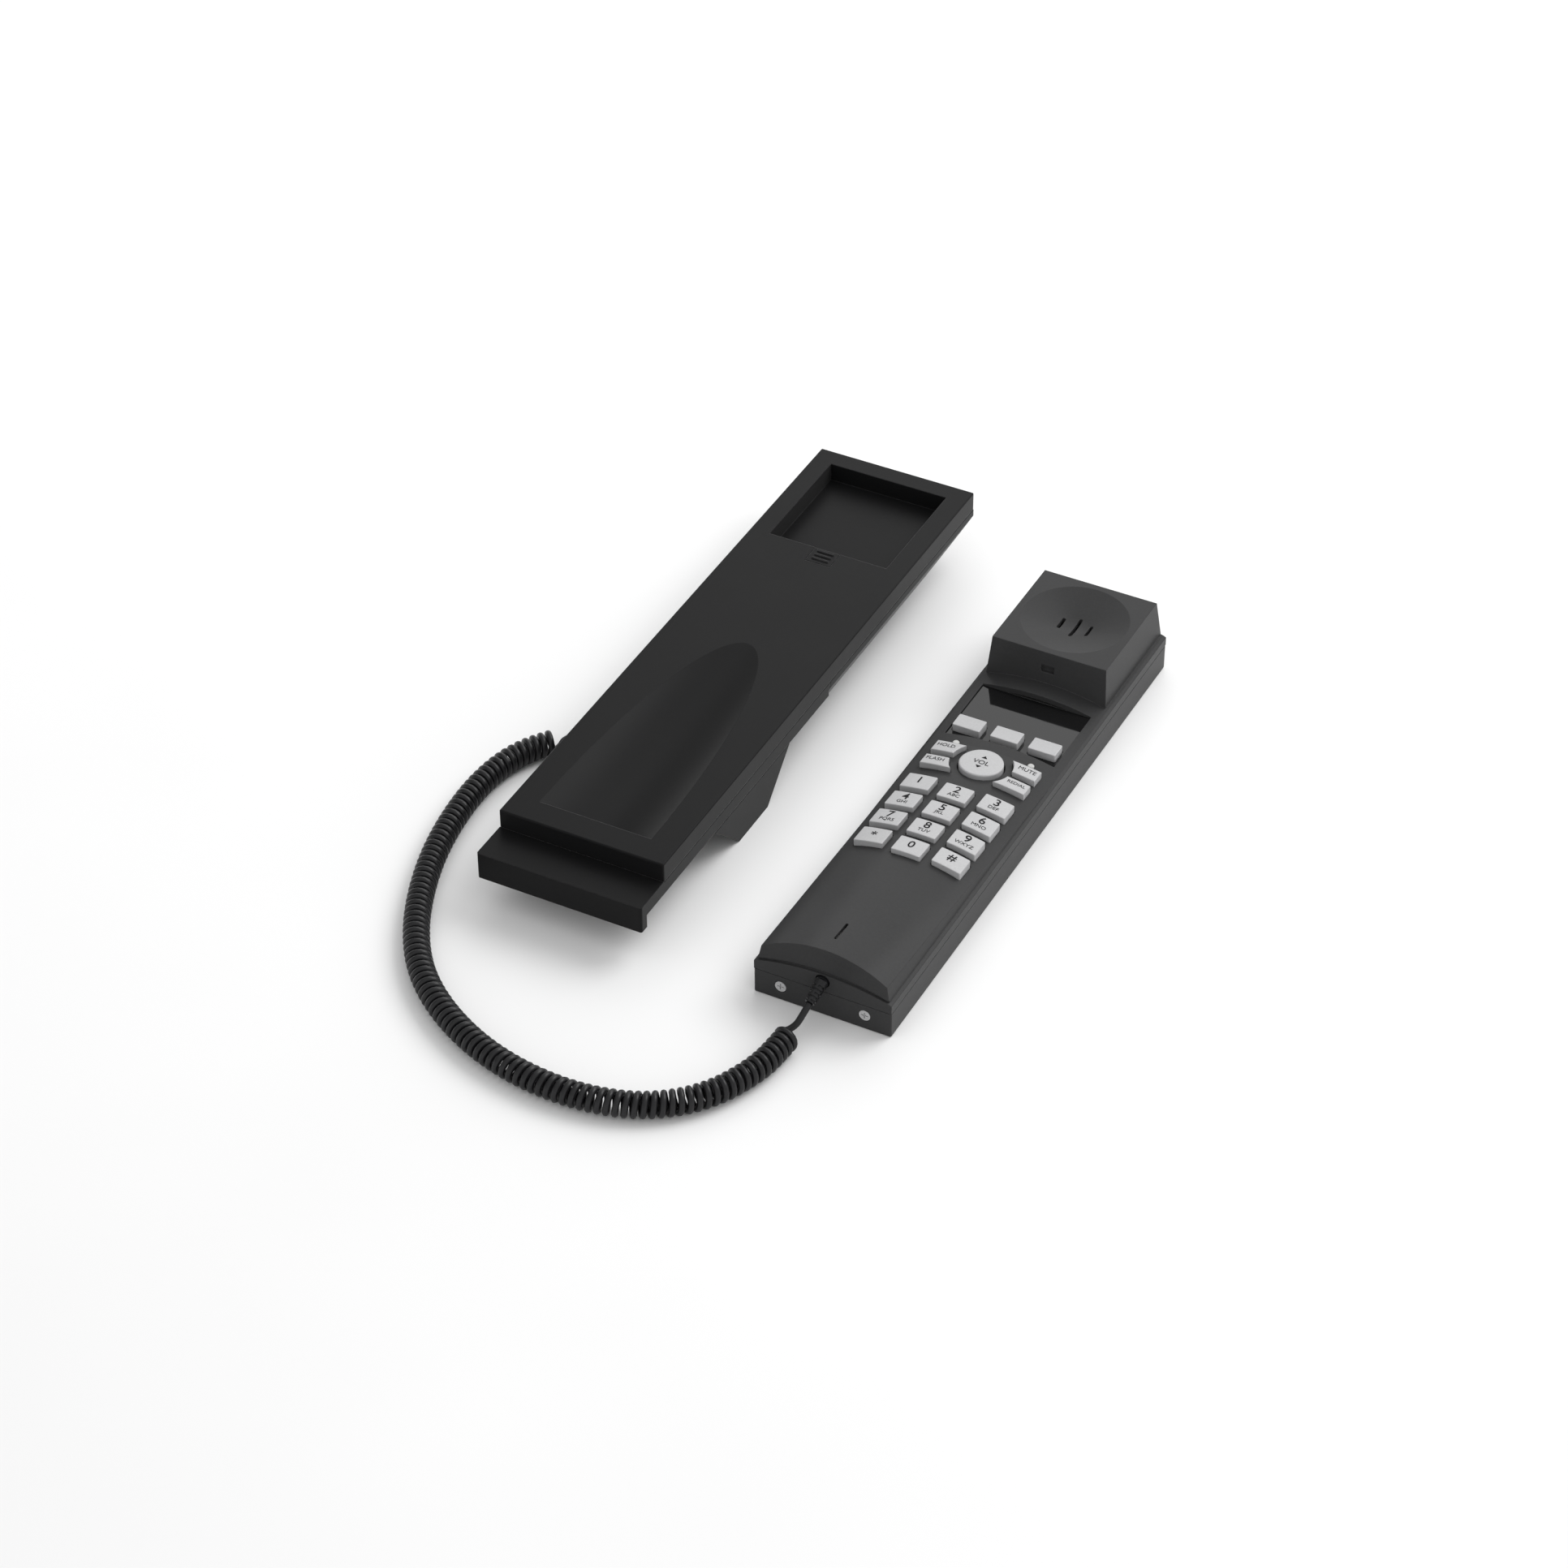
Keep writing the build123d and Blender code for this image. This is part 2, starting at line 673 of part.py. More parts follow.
def make_strain_relief():
    """Collar in the end wall, then a drooping sleeve with slots on two sides in turn."""
    reach = Vector(*relief_reach)
    start = Vector(handset_x, handset_y, relief_start)
    along = reach.normalized()
    with BuildPart() as relief:
        with BuildSketch(handset_section(wall + 1.6)):
            with Locations((0, relief_start)):
                Circle(relief_collar_radius)
        extrude(amount=1.6)
        with BuildSketch(handset_section(2.5)):
            with Locations((0, relief_start)):
                Circle(relief_root_radius)
        extrude(amount=3.3)
        with BuildSketch(Plane(origin=start, z_dir=along)):
            Circle(relief_root_radius)
        with BuildSketch(Plane(origin=start + reach, z_dir=along)):
            Circle(relief_tip_radius)
        loft(ruled=True)
        for groove in range(relief_grooves):
            share = 0.24 + 0.16 * groove
            radius = relief_root_radius + (relief_tip_radius - relief_root_radius) * share
            bridge = (4 * radius, 0.8) if groove % 2 else (0.8, 4 * radius)
            with BuildSketch(Plane(origin=start + reach * share, x_dir=(1, 0, 0), z_dir=along)):
                Circle(radius + 1)
                Circle(radius - 0.45, mode=Mode.SUBTRACT)
                Rectangle(*bridge, mode=Mode.SUBTRACT)
            extrude(amount=0.6, mode=Mode.SUBTRACT)
    return relief.part


# ---- base ----


def scoop_form(extra):
    """Space over the hollow in the cradle: a round section swept along a very flat arc."""
    tube = (scoop_half_width**2 + scoop_depth**2) / (2 * scoop_depth)
    sweep = (scoop_length**2 + scoop_depth**2) / (2 * scoop_depth)
    bottom = base_top - scoop_depth
    near = scoop_near - extra
    with BuildPart() as form:
        with BuildSketch(base_section(near)):
            with Locations((0, bottom + tube)):
                Circle(tube + extra)
        revolve(axis=Axis((base_x, base_y + near, bottom + sweep), (1, 0, 0)), revolution_arc=7.5)
    return form.part


def tab_face(margin, overshoot):
    """Dovetail section of the hook tab and its slot."""
    half = tab_width / 2 + margin
    foot = base_top - tab_thickness - margin
    knee = base_top - 0.7
    with BuildSketch() as face:
        with BuildLine():
            Polyline((-half, base_top + overshoot), (-half, knee), (-half - 0.6, foot),
                     (half + 0.6, foot), (half, knee), (half, base_top + overshoot), close=True)
        make_face()
    return face.sketch


def make_base_top_cover():
    half = base_width / 2
    near = ledge_depth
    pocket = ((-pocket_width / 2, pocket_width / 2), (pocket_near, pocket_near + pocket_length))
    with BuildPart() as basin:
        add(block(base_level, (-24.0, 24.0), (scoop_near - wall, scoop_near + scoop_length + 2),
                  (19.4, base_top)))
        add(scoop_form(wall), mode=Mode.INTERSECT)
    with BuildPart() as cover:
        add(block(base_level, (-half, half), (near, base_length), (base_parting, base_top)))
        fillet(cover.edges().filter_by(Axis.Z), 0.5)
        fillet(cover.faces().sort_by(Axis.Z)[-1].edges(), 0.5)
        add(block(base_level, (-half + wall, half - wall), (near + wall, base_length - wall),
                  (base_parting, base_top - wall)), mode=Mode.SUBTRACT)
        add(basin.part)
        add(scoop_form(0), mode=Mode.SUBTRACT)
        add(block(base_level, (pocket[0][0] - wall, pocket[0][1] + wall),
                  (pocket[1][0] - wall, pocket[1][1] + wall), (pocket_floor - wall, base_top - wall)))
        add(block(base_level, (-8.0, 8.0), (pocket_near - tab_length - 2, pocket_near),
                  (base_top - 3.8, base_top - wall)))
        add(block(base_level, *pocket, (pocket_floor, base_top)), mode=Mode.SUBTRACT)
        with BuildSketch(base_section(pocket_near)):
            add(tab_face(0.2, 1))
        extrude(amount=tab_length + 0.2, mode=Mode.SUBTRACT)
        add(post(base_level, 2.4, base_screw_spots, (base_under + wall, base_top - wall)))
        add(post(base_level, base_screw_shank + 0.05, base_screw_spots,
                 (base_under + wall, base_top - wall - 1)), mode=Mode.SUBTRACT)
    return cover.part


def make_hook_tab():
    """Reversible tab that holds the handset on the wall, with three grip ribs on top."""
    with BuildPart() as tab:
        with BuildSketch(base_section(pocket_near - 0.1)):
            add(tab_face(0, 0))
        extrude(amount=tab_length - 0.1)
        with BuildSketch(base_level(base_top)):
            with Locations(*((0, pocket_near - 1.6 - 2.2 * rib) for rib in range(3))):
                SlotOverall(6.4, 0.9)
        extrude(amount=0.35)
    return tab.part


def make_base_bottom_cover():
    half = base_width / 2
    facet = 2.6
    with BuildPart() as cover:
        with BuildSketch(base_profile(-half)):
            with BuildLine():
                Polyline((192.0, base_under), (lip_thickness, base_under + 0.4), (lip_thickness, lip_foot),
                         (0, lip_foot), (0, base_parting + 0.1), (ledge_depth - 0.05, base_parting + 0.1),
                         (ledge_depth - 0.05, base_parting), (base_length, base_parting),
                         (base_length, far_end_foot))
                ThreePointArc((base_length, far_end_foot), (218.0, base_under + 0.65),
                              (192.0, base_under))
            make_face()
        extrude(amount=base_width)
        fillet(cover.edges().filter_by(Axis.Z).sort_by(Axis.Y)[:2], 0.8)
        with BuildSketch(base_level(base_parting - seam)):
            with Locations((0, base_length / 2)):
                Rectangle(base_width, base_length)
                Rectangle(base_width - 2 * seam, base_length - 2 * seam, mode=Mode.SUBTRACT)
            with Locations((0, ledge_depth / 2)):
                Rectangle(base_width, ledge_depth, mode=Mode.SUBTRACT)
        extrude(amount=seam, mode=Mode.SUBTRACT)
        # side facets that narrow the far half of the underside
        for side in (-1, 1):
            with BuildSketch(base_section(130.0)):
                with BuildLine():
                    Polyline((side * half, base_under + facet), (side * (half - 0.75), base_under - 0.2),
                             (side * (half + 1), base_under - 0.2), (side * (half + 1), base_under + facet),
                             close=True)
                make_face()
            extrude(amount=-(base_length - 129.0), mode=Mode.SUBTRACT)
        # hairline joint on the right side
        with BuildSketch(base_profile(half + 1)):
            with BuildLine():
                Polyline((131.7, base_parting), (132.0, base_parting), (129.2, base_under),
                         (128.9, base_under), close=True)
            make_face()
        extrude(amount=-1.3, mode=Mode.SUBTRACT)
        add(block(base_level, (-half + wall, half - wall), (ledge_depth + 0.5, base_length - wall - 4),
                  (base_under + wall, base_parting)), mode=Mode.SUBTRACT)
        add(block(base_level, (-half + wall, half - wall), (base_length - wall - 5, base_length - wall),
                  (base_under + wall + 1.4, base_parting)), mode=Mode.SUBTRACT)
        spots = [(x, y) for x in (-17.0, 17.0) for y in (138.0, 176.0)]
        add(post(base_level, 2.0, spots, (base_under + wall, 19.2)))
        add(post(base_level, base_screw_shank + 0.35, base_screw_spots, (base_under, base_under + wall)),
            mode=Mode.SUBTRACT)
        add(post(base_level, base_screw_head + 0.1, base_screw_spots, (base_under - 1, base_under + 1.0)),
            mode=Mode.SUBTRACT)
        # way through for the jacks' wires
        add(post(base_level, 4.0, [(-8.0, 75.0), (8.0, 140.0)], (base_under, base_under + wall)),
            mode=Mode.SUBTRACT)
    return cover.part


def make_base_screws():
    with BuildPart() as screws:
        add(post(base_level, base_screw_head, base_screw_spots, (base_under + 0.1, base_under + 1.0)))
        add(post(base_level, base_screw_shank, base_screw_spots, (base_under + 1.0, base_under + 8.0)))
        for x, y in base_screw_spots:
            add(block(base_level, (x - 1.3, x + 1.3), (y - 0.25, y + 0.25),
                      (base_under, base_under + 0.5)), mode=Mode.SUBTRACT)
            add(block(base_level, (x - 0.25, x + 0.25), (y - 1.3, y + 1.3),
                      (base_under, base_under + 0.5)), mode=Mode.SUBTRACT)
    return screws.part


def wedge_face(inset):
    """Bracket profile: near slope, flat foot, far slope."""
    run = wedge_near[1] - wedge_near[0]
    near_shift = inset * math.hypot(run, base_under) / base_under
    far_run = wedge_far[1] - wedge_far[0]
    far_shift = inset * math.hypot(far_run, base_under) / base_under
    foot = inset * 1.25
    near_foot = wedge_near[1] + near_shift - foot * run / base_under
    far_foot = wedge_far[0] - far_shift + foot * far_run / base_under
    with BuildSketch() as face:
        with BuildLine():
            Polyline((wedge_near[0] + near_shift, base_under), (near_foot, foot), (far_foot, foot),
                     (wedge_far[1] - far_shift, base_under), close=True)
        make_face()
    return face.sketch


def make_wall_bracket():
    half = base_width / 2
    floor = 2.5
    entries = [(0, keyhole_near), (0, keyhole_near + keyhole_spacing)]
    with BuildPart() as bracket:
        with BuildSketch(base_profile(-half)):
            add(wedge_face(0))
        extrude(amount=base_width)
        add(block(base_level, (-spine_half_width, spine_half_width), (wedge_far[0] - 4, spine_far),
                  (0, base_under)))
        with BuildSketch(base_profile(-half + wall)):
            add(wedge_face(wall))
        extrude(amount=base_width - 2 * wall, mode=Mode.SUBTRACT)
        add(block(base_level, (-spine_half_width + wall, spine_half_width - wall),
                  (wedge_far[0] - 6, spine_far - wall), (floor, base_under)), mode=Mode.SUBTRACT)
        add(post(base_level, keyhole_radius, entries, (0, floor)), mode=Mode.SUBTRACT)
        with BuildSketch(base_level(0)):
            for x, y in entries:
                with Locations((x, y + keyhole_travel / 2)):
                    SlotCenterToCenter(keyhole_travel, 2 * keyhole_slot_radius, rotation=90)
        extrude(amount=floor, mode=Mode.SUBTRACT)
        # windows for the two jacks
        add(block(base_level, (-half - 1, -half + wall + 1), (jack_spot[0] - 5.2, jack_spot[0] + 5.2),
                  (jack_spot[1] - 4.7, jack_spot[1] + 4.7)), mode=Mode.SUBTRACT)
        window = line_jack_half_width + 0.2
        add(block(base_level, (-window, window), (line_jack_near - 0.2, line_jack_far + 0.2), (-1, floor)),
            mode=Mode.SUBTRACT)
        add(post(base_level, 2.3, [(0, 100.0), (0, 150.0)], (floor, base_under)))
    return bracket.part


def make_handset_jack():
    half = base_width / 2
    along, up = jack_spot
    with BuildPart() as jack:
        add(block(base_level, (-half + 0.1, -half + 13.5), (along - 5.0, along + 5.0), (up - 4.5, up + 4.5)))
        add(block(base_level, (-half - 1, -half + 9.0), (along - 3.95, along + 3.95),
                  (up - 3.25, up + 3.25)), mode=Mode.SUBTRACT)
    return jack.part


def make_line_jack():
    """Modular socket that opens at the bracket's foot, with the notch for the plug's latch."""
    half = line_jack_half_width
    near = line_jack_near + 3.5
    with BuildPart() as jack:
        add(block(base_level, (-half, half), (line_jack_near, line_jack_far), (0.3, line_jack_top)))
        add(block(base_level, (-4.9, 4.9), (near, near + 7.0), (0, 9.5)), mode=Mode.SUBTRACT)
        add(block(base_level, (-1.6, 1.6), (near + 6.0, near + 9.5), (0, 6.0)), mode=Mode.SUBTRACT)
    return jack.part


def make_base_board():
    return block(base_level, (-20.0, 20.0), base_board_y, base_board_z)


def make_ringer():
    """Piezo sounder disc with its raised middle and sound hole."""
    foot = base_board_z[1]
    with BuildPart() as ringer:
        add(post(base_level, 11.0, [ringer_spot], (foot, foot + 3.4)))
        add(post(base_level, 5.0, [ringer_spot], (foot + 3.4, foot + 4.4)))
        add(post(base_level, 1.0, [ringer_spot], (foot + 2.4, foot + 4.4)), mode=Mode.SUBTRACT)
    return ringer.part


def make_cradle_magnet():
    """Magnet that closes the handset's reed switch."""
    return block(base_level, *magnet_box)


# ---- cord ----

# Route of the cord from the strain relief to the plug: x and y from the handset's centre line and
# mouthpiece end, z from the table. The curly part starts halfway along the run after the third
# point, and ends on the run after the point numbered coil_last.
cord_height = coil / 2 + 0.05
cord_route = [
    (-0.9, -6.8, 9.9),
    (-1.4, -10.6, 7.72),
    (-2.2, -15.0, 5.2),
    (-2.6, -22.4, cord_height),
    (-4.0, -36.0, cord_height),
    (-12.0, -54.0, cord_height),
    (-26.5, -66.4, cord_height),
    (-45.0, -71.6, cord_height),
    (-65.0, -71.4, cord_height),
    (-84.8, -66.6, cord_height),
    (-103.6, -57.2, cord_height),
    (-119.2, -44.6, cord_height),
    (-130.8, -28.6, cord_height),
    (-139.2, -11.0, cord_height),
    (-145.4, 7.4, cord_height),
    (-149.0, 26.2, cord_height),
    (-150.2, 43.0, cord_height),
    (-148.8, 57.0, cord_height),
    (-145.2, 67.3, cord_height),
    (-138.5, 76.6, cord_height),
    (-135.2, 78.2, 5.3),
    (-131.5, 78.4, 7.1),
    (-128.9, 77.8, 8.0),
    (-126.3, 77.8, 8.0),
]
coil_first = 3
coil_last = 18
coil_end_share = 0.78      # how far along its last run the curly part ends


def cord_point(point):
    return Vector(handset_x + point[0], handset_y + point[1], point[2])


def corner_radii(points):
    """Each corner's radius from its two runs: 0.45 of the shorter over the half turn's tangent."""
    radii = []
    for before, corner, after in zip(points, points[1:], points[2:]):
        run_in = corner - before
        run_out = after - corner
        half_turn = math.radians(run_in.get_angle(run_out)) / 2
        radii.append(0.45 * min(run_in.length, run_out.length) / math.tan(half_turn))
    return radii


def make_tube(points, diameter, label):
    radii = corner_radii(points)
    with BuildPart() as tube:
        with BuildLine() as path:
            FilletPolyline(*points, radius=radii)
        with BuildSketch(Plane(origin=points[0], z_dir=points[1] - points[0])):
            Circle(diameter / 2)
        sweep()
    length = path.wires()[0].length
    section = math.pi * diameter**2 / 4
    print(label, "radii", [round(radius, 1) for radius in radii], "length", round(length, 1),
          "volume over section x length", round(tube.part.volume / (section * length), 4))
    return tube.part


def cord_parts():
    """The wire out of the handset, the curly part as one fat tube, and the wire to the plug."""
    points = [cord_point(point) for point in cord_route]
    along = (points[1] - points[0]).normalized()
    points[0] = points[0] + along * 0.3
    coil_start = points[coil_first - 1] + (points[coil_first] - points[coil_first - 1]) * 0.5
    coil_end = points[coil_last] + (points[coil_last + 1] - points[coil_last]) * coil_end_share
    handset_lead = make_tube(points[:coil_first] + [coil_start], wire, "handset lead")
    curly = make_tube([coil_start] + points[coil_first:coil_last + 1] + [coil_end], coil, "curly part")
    base_lead = make_tube([coil_end] + points[coil_last + 1:], wire, "base lead")
    return handset_lead, curly, base_lead


def make_plug():
    """Four-way modular plug with its latch, in the handset jack."""
    along, up = jack_spot
    length, width, height = plug_size
    outer = -base_width / 2 - plug_showing
    with BuildPart() as plug:
        add(block(base_level, (outer, outer + length), (along - width / 2, along + width / 2),
                  (up - height / 2, up + height / 2)))
        chamfer(plug.edges().filter_by(Axis.X), 0.4)
        add(block(base_level, (outer + 1.0, outer + 3.2), (along - 1.6, along + 1.6),
                  (up - height / 2 - 1.4, up - height / 2 + 0.4)))
        with BuildSketch(base_profile(outer + length)):
            with Locations(*((along + (n - 1.5) * 1.1, up + height / 2) for n in range(4))):
                Rectangle(0.5, 1.2)
        extrude(amount=-4.0, mode=Mode.SUBTRACT)
    return plug.part


# ---- make and write every piece ----


def write_keys():
    cap_top = crown_form(key_proud, -3, key_foot - 4)
    skirt_top = crown_form(-wall - 0.15, wall + 0.3, key_foot - 4)
    draws = []
    for name, x, y in digit_key_spots():
        draw = lambda margin, x=x, y=y: draw_digit_key(x, y, margin)
        draws.append(draw)
        save(make_key(draw, cap_top, skirt_top), f"digit_key_{name}")
    for name, side, limits in function_key_spots():
        draw = lambda margin, side=side, limits=limits: draw_function_key(side, limits, margin)
        draws.append(draw)
        save(make_key(draw, cap_top, skirt_top), f"{name}_key")
    for number, x in enumerate((-key_pitch[0], 0, key_pitch[0]), start=1):
        save(make_speed_key(x), f"speed_key_{number}")
    save(make_volume_rocker(cap_top), "volume_rocker")
    return draws


key_draws = write_keys()
save(make_top_shell(key_draws), "handset_top_shell")
save(make_bottom_shell(), "handset_bottom_shell")
save(make_case_screws(), "case_screws")
save(make_panel(), "speed_dial_panel")
save(make_mat(), "keypad_mat")
save(make_handset_board(), "handset_board")
save(make_light(-1), "hold_light")
save(make_light(1), "mute_light")
save(make_microphone(), "microphone")
save(make_microphone_boot(), "microphone_boot")
save(make_receiver(), "receiver_capsule")
save(make_ring(*gasket_radii, (receiver_heights[1], gasket_top)), "receiver_gasket")
save(make_reed_switch(), "reed_switch")
save(make_strain_relief(), "strain_relief")

save(make_base_top_cover(), "base_top_cover")
save(make_base_bottom_cover(), "base_bottom_cover")
save(make_hook_tab(), "hook_tab")
save(make_base_screws(), "base_screws")
save(make_wall_bracket(), "wall_bracket")
save(make_handset_jack(), "handset_jack")
save(make_line_jack(), "line_jack")
save(make_base_board(), "base_board")
save(make_ringer(), "ringer")
save(make_cradle_magnet(), "cradle_magnet")

cord_handset_lead, cord_curly, cord_base_lead = cord_parts()
save(cord_handset_lead, "cord_handset_lead")
save(cord_curly, "cord_curly")
save(cord_base_lead, "cord_base_lead")
save(make_plug(), "cord_plug")
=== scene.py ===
import json
import math

import bpy
from mathutils import Matrix, Vector


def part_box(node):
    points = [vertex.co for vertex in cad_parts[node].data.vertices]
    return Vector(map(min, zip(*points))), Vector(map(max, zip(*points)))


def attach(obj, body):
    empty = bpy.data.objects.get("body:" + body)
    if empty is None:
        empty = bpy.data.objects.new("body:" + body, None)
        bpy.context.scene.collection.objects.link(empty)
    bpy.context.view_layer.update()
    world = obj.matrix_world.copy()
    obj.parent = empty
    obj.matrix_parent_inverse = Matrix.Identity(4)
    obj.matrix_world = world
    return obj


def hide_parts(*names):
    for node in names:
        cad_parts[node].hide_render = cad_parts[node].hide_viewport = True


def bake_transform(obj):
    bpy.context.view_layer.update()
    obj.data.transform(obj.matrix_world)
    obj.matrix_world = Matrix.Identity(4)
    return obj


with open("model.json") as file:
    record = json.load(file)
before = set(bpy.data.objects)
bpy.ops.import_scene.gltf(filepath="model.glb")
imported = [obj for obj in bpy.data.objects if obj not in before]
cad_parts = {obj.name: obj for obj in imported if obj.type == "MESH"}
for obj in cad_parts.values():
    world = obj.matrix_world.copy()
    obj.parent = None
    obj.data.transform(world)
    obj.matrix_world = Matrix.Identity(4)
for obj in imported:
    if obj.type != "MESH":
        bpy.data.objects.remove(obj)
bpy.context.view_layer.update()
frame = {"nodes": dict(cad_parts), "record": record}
MM = 0.001

# ---- camera ----

CAMERA_PLACE = (0.50948, -1.02508, 0.92250)
CAMERA_ANGLES = (27.565, 39.203, -0.236)   # azimuth, elevation and roll, in degrees
CAMERA_LENS = 100.75
SENSOR_WIDTH = 36


def make_camera():
    azimuth, elevation, roll = (math.radians(angle) for angle in CAMERA_ANGLES)
    back = Vector((math.sin(azimuth) * math.cos(elevation),
                   -math.cos(azimuth) * math.cos(elevation),
                   math.sin(elevation)))
    level = Vector((math.cos(azimuth), math.sin(azimuth), 0))
    upright = back.cross(level)
    right = level * math.cos(roll) + upright * math.sin(roll)
    up = upright * math.cos(roll) - level * math.sin(roll)
    data = bpy.data.cameras.new("camera")
    data.sensor_width = SENSOR_WIDTH
    data.lens = CAMERA_LENS
    data.clip_end = 20
    camera = bpy.data.objects.new("camera", data)
    turn = Matrix((right, up, back)).transposed().to_4x4()
    camera.matrix_world = Matrix.Translation(CAMERA_PLACE) @ turn
    bpy.context.collection.objects.link(camera)
    bpy.context.scene.camera = camera


# ---- places read from the frame ----

# the handset's centre line at its mouthpiece end
shell_low, shell_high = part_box("handset_bottom_shell")
HANDSET = Vector(((shell_low[0] + shell_high[0]) / 2, shell_low[1], 0))


# ---- materials ----

# Noise scales are in patches per metre, and the values of a noise lie mostly between the two
# ends of a range below.
NOISE_RANGE = (0.3, 0.7)
WIDE_NOISE_RANGE = (0.2, 0.8)
EDGE_RANGE = (0.86, 0.995)   # cosine between the true and the softened normal near an edge


class Nodes:
    """Short calls that add and link shader nodes."""

    def __init__(self, name):
        self.material = bpy.data.materials.new(name)
        self.material.use_nodes = True
        self.tree = self.material.node_tree
        self.shader = self.tree.nodes["Principled BSDF"]

    def add(self, kind, inputs=None, **settings):
        node = self.tree.nodes.new(kind)
        for key, value in settings.items():
            setattr(node, key, value)
        for key, value in (inputs or {}).items():
            self.give(node.inputs[key], value)
        return node

    def give(self, socket, value):
        if isinstance(value, bpy.types.NodeSocket):
            self.tree.links.new(value, socket)
        else:
            socket.default_value = value

    def place(self):
        return self.add("ShaderNodeTexCoord").outputs["Object"]

    def noise(self, scale, detail=2.0, vector=None):
        node = self.add("ShaderNodeTexNoise", {"Scale": scale, "Detail": detail})
        self.give(node.inputs["Vector"], vector or self.place())
        return node.outputs["Fac"]

    def spread(self, value, low, high, source=NOISE_RANGE):
        """Maps a pattern from its source range onto low to high."""
        node = self.add("ShaderNodeMapRange", {"From Min": source[0], "From Max": source[1],
                                               "To Min": low, "To Max": high})
        self.give(node.inputs["Value"], value)
        return node.outputs["Result"]

    def times(self, a, b):
        return self.add("ShaderNodeMath", {0: a, 1: b}, operation="MULTIPLY").outputs["Value"]

    def plus(self, a, b):
        return self.add("ShaderNodeMath", {0: a, 1: b}, operation="ADD").outputs["Value"]

    def mix(self, share, a, b):
        node = self.add("ShaderNodeMix", data_type="RGBA")
        self.give(node.inputs[0], share)
        self.give(node.inputs[6], a)
        self.give(node.inputs[7], b)
        return node.outputs[2]

    def stretched(self, scale, rotation=(0, 0, 0)):
        node = self.add("ShaderNodeMapping", {"Vector": self.place(), "Rotation": rotation,
                                              "Scale": scale})
        return node.outputs["Vector"]

    def bump(self, height, distance, normal=None):
        node = self.add("ShaderNodeBump", {"Strength": 1.0, "Distance": distance,
                                           "Height": height})
        if normal:
            self.give(node.inputs["Normal"], normal)
        return node.outputs["Normal"]

    def edges(self, radius):
        """(softened normal, 0 to 1 mask of the edges within that radius)"""
        bevel = self.add("ShaderNodeBevel", {"Radius": radius}, samples=6).outputs["Normal"]
        flat = self.add("ShaderNodeNewGeometry").outputs["Normal"]
        facing = self.add("ShaderNodeVectorMath", {0: bevel, 1: flat}, operation="DOT_PRODUCT")
        return bevel, self.spread(facing.outputs["Value"], 1.0, 0.0, EDGE_RANGE)


def shade(colour, factor):
    """The colour made lighter or darker, with an alpha of 1."""
    return tuple(min(1.0, c * factor) for c in colour[:3]) + (1.0,)


GRAIN_DEPTH = 0.006 * MM


def plastic(name, colour, roughness, specular=0.5, sheen=0.0, grain=2600.0, edge=0.35 * MM,
            wear_and_highlight=1.5):
    """Moulded plastic: fine eroded grain, slow tone drift, and edges paler by a factor, partly
    rubbed wear and partly a painted highlight along convex and concave edges.
    """
    n = Nodes(name)
    n.shader.inputs["Specular IOR Level"].default_value = specular
    n.shader.inputs["Sheen Weight"].default_value = sheen
    n.shader.inputs["Sheen Roughness"].default_value = 0.3
    soft, edge_mask = n.edges(edge)
    drift = n.noise(38.0, 3.0)
    speckle = n.noise(grain * 0.45, 2.0)
    share = n.spread(drift, 0.0, 1.0, WIDE_NOISE_RANGE)
    tone = n.mix(share, shade(colour, 0.93), shade(colour, 1.07))
    tone = n.mix(n.spread(speckle, 0.0, 0.22), tone, shade(colour, 1.35))
    # Paler edges: partly rubbed wear, partly a painted highlight where edges would catch the
    # light.
    rubbed_and_highlit = n.times(edge_mask, n.spread(n.noise(420.0, 3.0), 0.25, 1.0))
    n.give(n.shader.inputs["Base Color"], n.mix(rubbed_and_highlit, tone, shade(colour, wear_and_highlight)))
    rough = n.spread(drift, roughness - 0.03, roughness + 0.03, WIDE_NOISE_RANGE)
    n.give(n.shader.inputs["Roughness"], n.plus(rough, n.times(rubbed_and_highlit, -0.08)))
    height = n.plus(n.noise(grain, 2.0), n.times(n.noise(grain * 0.3, 1.0), 0.8))
    n.give(n.shader.inputs["Normal"], n.bump(height, GRAIN_DEPTH, soft))
    return n.material


THIN_EDGE = 0.2 * MM
HAIR_STRETCH = (1.0, 0.03, 1.0)
HAIR_TURN = (0, 0, 0.5)
HAIR_RANGE = (0.62, 0.78)    # only the peaks of the noise make a scratch
WAVE_DEPTH = 0.01 * MM


def gloss(name, colour, roughness, specular=0.5):
    """Polished plastic with hairline scratches and a faint moulding wave."""
    n = Nodes(name)
    n.shader.inputs["Specular IOR Level"].default_value = specular
    soft, edge_mask = n.edges(THIN_EDGE)
    hairs = n.noise(5200.0, 2.0, n.stretched(HAIR_STRETCH, HAIR_TURN))
    drift = n.noise(60.0)
    tone = n.mix(n.spread(drift, 0.0, 1.0), shade(colour, 0.94), shade(colour, 1.06))
    n.give(n.shader.inputs["Base Color"], tone)
    rough = n.plus(n.spread(hairs, 0.0, 0.10, HAIR_RANGE),
                   n.spread(drift, roughness, roughness + 0.03))
    n.give(n.shader.inputs["Roughness"], n.plus(rough, n.times(edge_mask, 0.1)))
    n.give(n.shader.inputs["Normal"], n.bump(n.noise(120.0, 1.0), WAVE_DEPTH, soft))
    return n.material


BRUSH_STRETCH = (1.0, 12.0, 1.0)
BRUSH_DEPTH = 0.004 * MM


